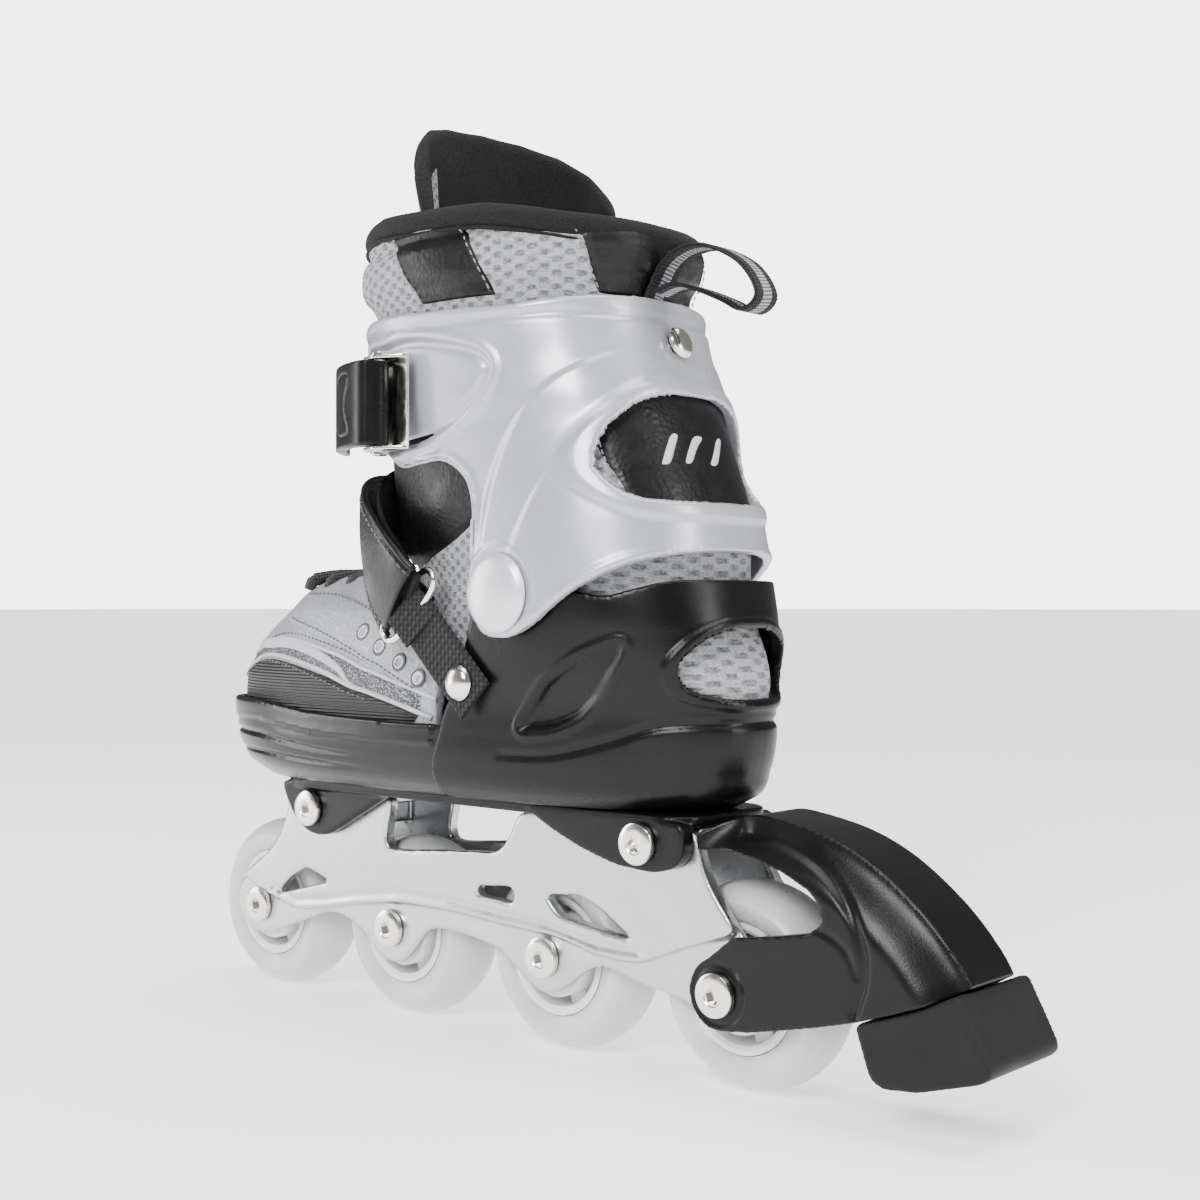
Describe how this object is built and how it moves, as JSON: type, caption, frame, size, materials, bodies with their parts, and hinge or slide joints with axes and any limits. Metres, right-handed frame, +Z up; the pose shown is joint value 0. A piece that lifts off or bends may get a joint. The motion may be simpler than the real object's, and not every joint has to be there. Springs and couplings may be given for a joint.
{
  "type": "inline skate",
  "caption": "Single inline skate with a row of wheels in a cast frame, hinged ankle cuff, sliding toe for size adjustment, strap and buckle closures and a heel brake.",
  "frame": {"origin": "centre of the bounding box's base, on the floor under the wheels", "axes": "+X towards the toe, +Y towards the buckle side, +Z up"},
  "size_m": [0.35, 0.1124, 0.316],
  "materials": {
    "tyre": "satin translucent white urethane",
    "hub": "white moulded plastic",
    "bearing_steel": "ground steel",
    "nickel": "polished nickel plate",
    "cast_aluminium": "satin silver lacquered casting",
    "black_plastic": "satin black moulded plastic",
    "gloss_black": "gloss black moulded plastic",
    "brake_rubber": "matt moulded rubber",
    "silver_plastic": "semi-gloss silver-grey plastic",
    "pearl_cap": "pearl silver plastic",
    "grey_mesh": "grey melange air mesh",
    "silver_leather": "silver-grey synthetic leather",
    "black_leather": "glossy black synthetic leather",
    "black_textile": "fine black textile",
    "webbing": "woven black ribbon"
  },
  "bodies": {
    "chassis": {"frame": "cast_aluminium", "brake_arm": "black_plastic", "brake_pad": "brake_rubber", "brake_pad_screw": "nickel", "sole_plate": "black_plastic", "rear_shell": "black_plastic", "cuff_pivot_left": "pearl_cap", "cuff_pivot_right": "pearl_cap", "front_mount_bolt": "nickel", "front_mount_nut": "nickel", "rear_mount_bolt": "nickel", "rear_mount_nut": "nickel", "boot_foot": "grey_mesh", "insole": "black_textile", "instep_webbing": "webbing", "strap_ring": "nickel", "instep_strap": "black_leather", "strap_rivet_left": "nickel", "strap_rivet_right": "nickel", "spacer_1": "bearing_steel", "axle_bolt_1": "nickel", "axle_nut_1": "nickel", "spacer_2": "bearing_steel", "axle_bolt_2": "nickel", "axle_nut_2": "nickel", "spacer_3": "bearing_steel", "axle_bolt_3": "nickel", "axle_nut_3": "nickel", "spacer_4": "bearing_steel", "axle_bolt_4": "nickel", "axle_nut_4": "nickel"},
    "wheel_1": {"tyre_1": "tyre", "hub_1": "hub", "bearing_left_1": "bearing_steel", "bearing_right_1": "bearing_steel"},
    "wheel_2": {"tyre_2": "tyre", "hub_2": "hub", "bearing_left_2": "bearing_steel", "bearing_right_2": "bearing_steel"},
    "wheel_3": {"tyre_3": "tyre", "hub_3": "hub", "bearing_left_3": "bearing_steel", "bearing_right_3": "bearing_steel"},
    "wheel_4": {"tyre_4": "tyre", "hub_4": "hub", "bearing_left_4": "bearing_steel", "bearing_right_4": "bearing_steel"},
    "cuff": {"cuff": "silver_plastic", "boot_leg": "grey_mesh", "tongue": "black_textile", "cuff_rear_rivet": "nickel", "pull_loop": "webbing", "buckle_base": "nickel", "buckle_pin": "nickel", "ladder_strap": "black_plastic"},
    "lever": {"buckle_lever": "black_plastic"},
    "toe": {"toe_shell": "gloss_black", "toe_upper": "silver_leather", "lace": "black_textile"},
    "button": {"size_button": "silver_plastic"}
  },
  "joints": [
    {"name": "wheel_1_spin", "type": "hinge", "parent": "chassis", "child": "wheel_1", "pos_m": [0.143, -0.0041, 0.032], "axis": [0, 1, 0], "continuous": true},
    {"name": "wheel_2_spin", "type": "hinge", "parent": "chassis", "child": "wheel_2", "pos_m": [0.067, -0.0041, 0.032], "axis": [0, 1, 0], "continuous": true},
    {"name": "wheel_3_spin", "type": "hinge", "parent": "chassis", "child": "wheel_3", "pos_m": [-0.009, -0.0041, 0.032], "axis": [0, 1, 0], "continuous": true},
    {"name": "wheel_4_spin", "type": "hinge", "parent": "chassis", "child": "wheel_4", "pos_m": [-0.085, -0.0041, 0.032], "axis": [0, 1, 0], "continuous": true},
    {"name": "cuff_flex", "type": "hinge", "parent": "chassis", "child": "cuff", "pos_m": [-0.019, -0.0041, 0.1516], "axis": [0, 1, 0], "range_deg": [-3, 10]},
    {"name": "buckle_open", "type": "hinge", "parent": "cuff", "child": "lever", "pos_m": [0.031, 0.0485, 0.214], "axis": [0, 0, 1], "range_deg": [0, 90]},
    {"name": "toe_slide", "type": "slide", "parent": "chassis", "child": "toe", "axis": [1, 0, 0], "range_m": [0, 0.02]},
    {"name": "size_button_press", "type": "slide", "parent": "chassis", "child": "button", "axis": [0, 1, 0], "range_m": [0, 0.0025], "stiffness_N_per_m": 800}
  ]
}
